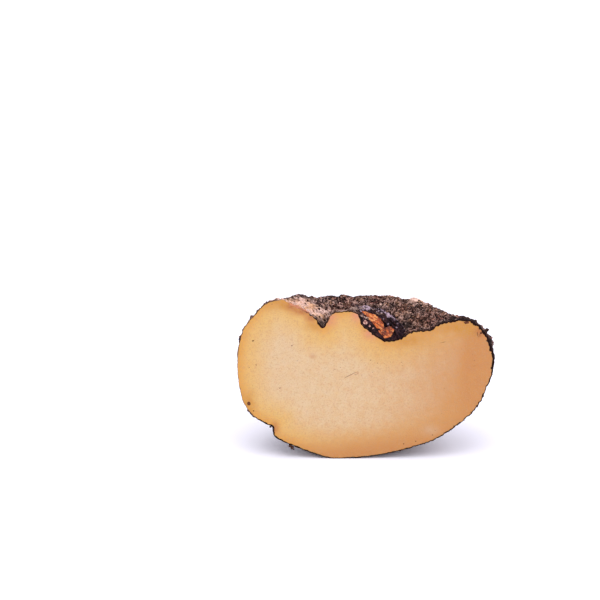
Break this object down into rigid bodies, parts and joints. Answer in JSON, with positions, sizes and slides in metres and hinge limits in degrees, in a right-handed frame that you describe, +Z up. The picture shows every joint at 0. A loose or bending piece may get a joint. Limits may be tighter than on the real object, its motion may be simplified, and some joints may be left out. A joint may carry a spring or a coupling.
{
  "type": "cut half of an elephant foot yam",
  "caption": "Squat tuber cut from crown to base, standing on its underside and leaning back a little, with rough dark bark, pale orange flesh and a cut shoot bud in the sunken crown",
  "frame": {"origin": "the middle of the bounding box at the level of the surface that the half stands on", "axes": "+Z up, -Y out of the cut face (which leans back by 5 degrees), +X to the right of the cut face"},
  "size_m": [0.2008, 0.0998, 0.1259],
  "materials": {
    "bark": "matte",
    "flesh": "satin",
    "bud_scales": "satin",
    "bud_core": "satin",
    "roots": "matte"
  },
  "bodies": {
    "root": {"corm": "bark", "bud": "bud_scales"}
  },
  "joints": []
}
